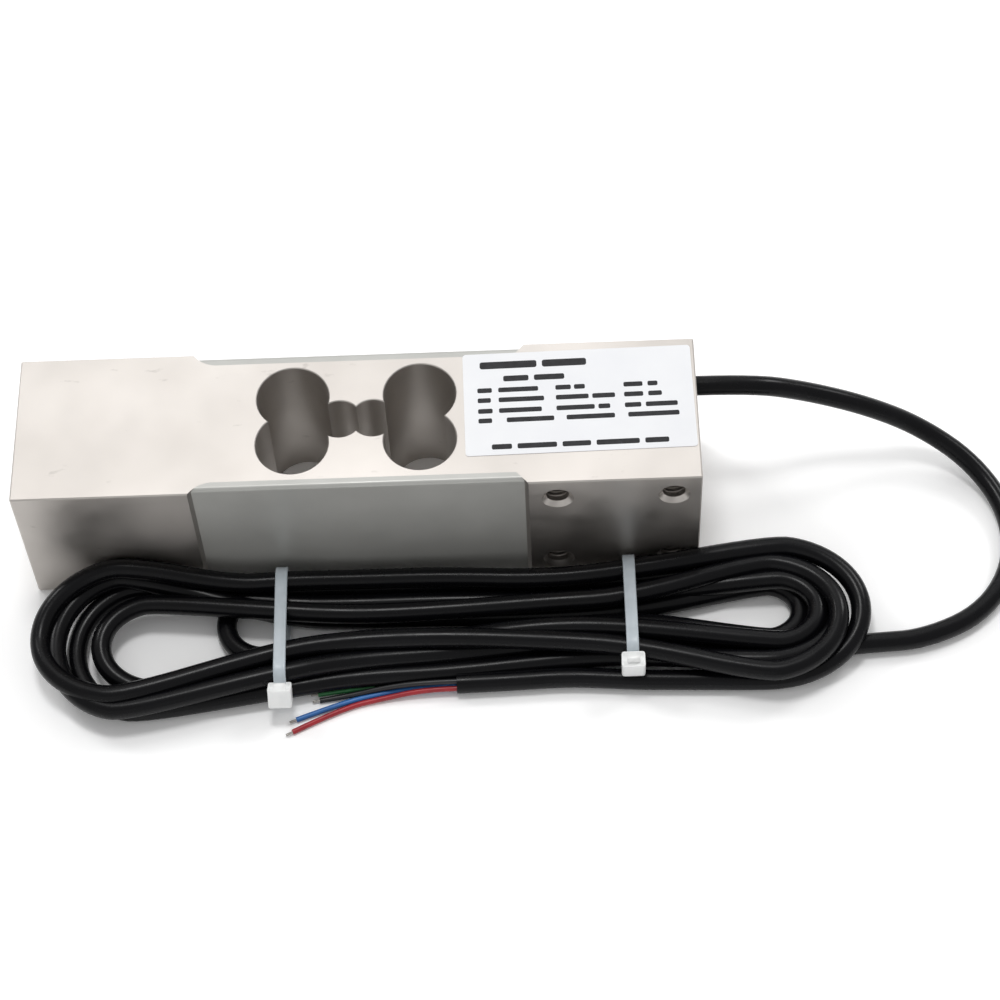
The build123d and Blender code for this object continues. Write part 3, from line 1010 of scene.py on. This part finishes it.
@dataclass(frozen=True)
class TapThreads:
    """Crests of the screw thread in the tapped holes, which the solids leave as plain drilled walls.

    Attributes:
        half_height: From the body's middle to the faces with the holes.
        middle: Height of the pattern's centre.
        from_centre: From the body's middle to the pattern's centre, along the body.
        spacing_along: Distance between the holes along the body.
        spacing_across: Distance between the holes across it.
        pitch: Distance from one crest to the next.
        wall: Radius of the ridge's foot, just inside the drilled wall.
        crest: Radius that the crests reach in to.
        start: Depth at which the thread starts, below the chamfer.
        end: Depth at which it ends.
        foot_share: Half the ridge's width at its foot, as a share of the pitch.
        crest_share: Half its width at the crest, as a share of the pitch.
        sides: Steps in each round of the thread.
    """

    half_height: float = 18.5
    middle: float = 19.0
    from_centre: float = 56.3
    spacing_along: float = 25.4
    spacing_across: float = 25.0
    pitch: float = 1.0
    wall: float = 2.52
    crest: float = 2.38
    start: float = 1.7
    end: float = 13.0
    foot_share: float = 0.32
    crest_share: float = 0.05
    sides: int = 28

    def add_helix(self, builder: bmesh.types.BMesh, centre: tuple[float, float], face: int) -> None:
        """Adds one hole's thread, as a ridge that winds down into the hole.

        Args:
            builder: Mesh that gets it.
            centre: X and Z of the hole's axis.
            face: -1 for the near side of the body, 1 for the far side.
        """
        rows = int((self.end - self.start) / self.pitch * self.sides)
        ridge = (
            (self.wall, -self.foot_share), (self.crest, -self.crest_share),
            (self.crest, self.crest_share), (self.wall, self.foot_share),
        )
        previous = None
        for row in range(rows + 1):
            angle = 2 * math.pi * row / self.sides
            depth = self.start + self.pitch * row / self.sides
            ring = []
            for radius, shift in ridge:
                y = face * (self.half_height - depth - shift * self.pitch)
                x = centre[0] + radius * math.cos(angle)
                z = centre[1] + radius * math.sin(angle)
                ring.append(builder.verts.new(Vector((x, y, z)) * MM))
            if previous is not None:
                for low, high in zip(range(3), range(1, 4)):
                    builder.faces.new((previous[low], previous[high], ring[high], ring[low]))
            previous = ring

    def build(self) -> bpy.types.Object:
        """Makes the threads of all eight holes as one mesh."""
        builder = bmesh.new()
        for face, end in ((-1, 1), (1, -1)):
            for along in (-0.5, 0.5):
                for across in (-0.5, 0.5):
                    x = end * self.from_centre + along * self.spacing_along
                    z = self.middle + across * self.spacing_across
                    self.add_helix(builder, (x, z), face)
        threads = link_mesh("tap_threads", builder, Finishes.BODY)
        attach(threads, "root")
        return threads


# The solids that stay as they are


@dataclass(frozen=True)
class Dressing:
    """Gives the solids that keep their shape their finishes.

    Attributes:
        finishes: Node names by finish.
    """

    finishes: dict[Finishes, tuple[str, ...]] = field(
        default_factory=lambda: {
            Finishes.BODY: ("spring_body",),
            Finishes.POTTING: ("gauge_cover_near", "gauge_cover_far"),
            Finishes.JACKET: ("cable_stub",),
            Finishes.SEAL: ("cable_seal",),
            Finishes.LABEL: ("rating_label",),
            Finishes.BOARD: ("terminal_board_near", "terminal_board_far"),
            Finishes.GAUGE: (
                "strain_gauge_near_live",
                "strain_gauge_near_fixed",
                "strain_gauge_far_live",
                "strain_gauge_far_fixed",
            ),
            Finishes.ENAMEL: ("gauge_wires_near", "gauge_wires_far", "jumper_wires"),
            Finishes.CORES: ("core_wires",),
            Finishes.RESISTOR: ("balance_resistors",),
        }
    )

    def dress(self, nodes: dict[str, bpy.types.Object]) -> None:
        """Puts each finish in its solids' material slots.

        Args:
            nodes: The frame's objects by node name.
        """
        for finish, names in self.finishes.items():
            for name in names:
                slots = nodes[name].material_slots
                if not slots:
                    nodes[name].data.materials.append(finish.material)
                for slot in slots:
                    slot.material = finish.material


# Studio


@dataclass(frozen=True)
class Softbox:
    """A square area light that points at the object.

    Attributes:
        name: Its name.
        place: Where it hangs.
        size: Length of its side.
        power: Its power, in watts.
        aim: Point that it faces.
    """

    name: str
    place: Point
    size: float
    power: float
    aim: Point = (20.0, -20.0, 10.0)

    def build(self) -> bpy.types.Object:
        """Hangs the light."""
        lamp = bpy.data.lights.new(self.name, "AREA")
        lamp.shape = "SQUARE"
        lamp.size = self.size * MM
        lamp.energy = self.power
        piece = bpy.data.objects.new(self.name, lamp)
        bpy.context.scene.collection.objects.link(piece)
        piece.location = Vector(self.place) * MM
        towards = Vector(self.aim) * MM - piece.location
        piece.rotation_euler = towards.to_track_quat("-Z", "Y").to_euler()
        return piece


@dataclass(frozen=True)
class Studio:
    """Floor, lights and camera.

    Attributes:
        camera_place: Where the camera stands.
        camera_turn: Its Euler angles, in degrees.
        lens: Its focal length on a 36 mm sensor.
        floor_size: Length of the floor's side.
        fold: Radius of the floor's fold up behind the object.
        fold_steps: Steps in that fold.
        sky: Strength of the even light from all round.
        softboxes: The lights.
    """

    camera_place: Point = (40.48, -345.01, 542.14)
    camera_turn: Point = (32.57, 1.80, -1.16)
    lens: float = 100.32
    floor_size: float = 6000.0
    fold: float = 400.0
    fold_steps: int = 8
    sky: float = 0.5
    softboxes: tuple[Softbox, ...] = (
        Softbox("softbox_overhead", (-40.0, 150.0, 900.0), 180.0, 2.3),
        Softbox("softbox_behind", (0.0, 640.0, 700.0), 900.0, 1.7),
        Softbox("softbox_behind_left", (-620.0, 520.0, 640.0), 260.0, 2.2),
        Softbox("softbox_behind_right", (660.0, 520.0, 640.0), 260.0, 2.2),
        Softbox("softbox_front", (-250.0, -800.0, 300.0), 700.0, 0.5),
    )

    def build_floor(self) -> bpy.types.Object:
        """Lays the floor, with a fold up far behind the object."""
        builder = bmesh.new()
        half = self.floor_size / 2
        back = half / 2
        profile = [(-half, 0.0), (back, 0.0)]
        for step in range(1, self.fold_steps + 1):
            angle = math.pi / 2 * step / self.fold_steps
            profile.append((back + self.fold * math.sin(angle), self.fold * (1 - math.cos(angle))))
        profile.append((back + self.fold, half))
        previous = None
        for y, z in profile:
            pair = [builder.verts.new(Vector((x, y, z)) * MM) for x in (-half, half)]
            if previous is not None:
                builder.faces.new((previous[0], previous[1], pair[1], pair[0]))
            previous = pair
        floor = link_mesh("studio_sweep", builder, Finishes.FLOOR)
        return floor

    def build_camera(self) -> bpy.types.Object:
        """Stands the camera where the photograph was taken from."""
        data = bpy.data.cameras.new("camera")
        data.lens = self.lens
        data.sensor_width = 36.0
        camera = bpy.data.objects.new("camera", data)
        bpy.context.scene.collection.objects.link(camera)
        camera.location = Vector(self.camera_place) * MM
        camera.rotation_euler = Euler([math.radians(angle) for angle in self.camera_turn], "XYZ")
        bpy.context.scene.camera = camera
        return camera

    def build_sky(self) -> None:
        """Lights the scene evenly from all round."""
        world = bpy.data.worlds.new("light_tent")
        world.use_nodes = True
        background = world.node_tree.nodes["Background"]
        background.inputs["Color"].default_value = linear("ffffff")
        background.inputs["Strength"].default_value = self.sky
        bpy.context.scene.world = world

    def build(self) -> None:
        """Sets up everything around the object."""
        self.build_camera()
        self.build_sky()
        self.build_floor()
        for softbox in self.softboxes:
            softbox.build()
        bpy.context.scene.view_settings.view_transform = "Standard"


# The whole object


@dataclass
class LoadCell:
    """The object's added pieces, built in order."""

    cable: Cable = field(default_factory=Cable)
    ties: tuple[CableTie, ...] = (
        CableTie(
            name="left",
            x=-18.6,
            strands=((-23.4, 3.35), (-22.6, 7.4), (-30.4, 7.3), (-40.2, 7.3), (-45.7, 7.1), (-48.0, 3.35)),
            head_place=(-51.4, 6.85),
            head_turn=-31.5,
        ),
        CableTie(
            name="right",
            x=59.0,
            strands=((-23.1, 3.35), (-22.6, 7.7), (-29.8, 7.4), (-41.9, 7.3), (-42.2, 3.35)),
            head_place=(-46.75, 7.4),
            head_turn=0.0,
        ),
    )
    leads: tuple[Lead, ...] = (
        Lead("red", Finishes.LEAD_RED, (
            (20.0, -48.5, 2.0), (13.0, -48.5, 2.0), (4.0, -49.7, 0.8),
            (-5.0, -51.6, 0.62), (-16.3, -57.3, 0.6),
        )),
        Lead("blue", Finishes.LEAD_BLUE, (
            (20.0, -47.45, 1.3), (13.0, -47.45, 1.3), (4.0, -48.3, 0.65),
            (-5.0, -50.3, 0.62), (-15.5, -54.3, 0.6),
        )),
        Lead("green", Finishes.LEAD_GREEN, (
            (20.0, -46.4, 2.0), (13.0, -46.4, 2.0), (4.0, -46.8, 0.7),
            (-4.0, -47.2, 0.62), (-10.8, -48.1, 0.6),
        )),
        Lead("black", Finishes.LEAD_BLACK, (
            (20.0, -47.4, 3.3), (13.0, -47.4, 3.3), (4.0, -47.65, 2.0),
            (-4.0, -48.8, 0.7), (-10.4, -49.7, 0.6),
        )),
    )
    label: LabelPrint = field(default_factory=LabelPrint)
    threads: TapThreads = field(default_factory=TapThreads)

    def build(self, nodes: dict[str, bpy.types.Object]) -> list[bpy.types.Object]:
        """Dresses the solids, then makes the pieces that stand on and around them.

        Args:
            nodes: The frame's objects by node name.

        Returns:
            The pieces made, in order.
        """
        Dressing().dress(nodes)
        cable = self.cable.build()
        on_cable: list[bpy.types.Object] = []
        for tie in self.ties:
            on_cable += tie.build()
        for lead in self.leads:
            on_cable += lead.build()
        return [cable, *on_cable, self.label.build(), self.threads.build()]


def main() -> None:
    """Builds the scene in order: frame, studio, object."""
    logging.basicConfig(level=logging.INFO, format="%(name)s: %(message)s")
    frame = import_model()
    Studio().build()
    for piece in LoadCell().build(frame["nodes"]):
        LOG.info("built %s", piece.name)


if __name__ == "__main__":
    main()
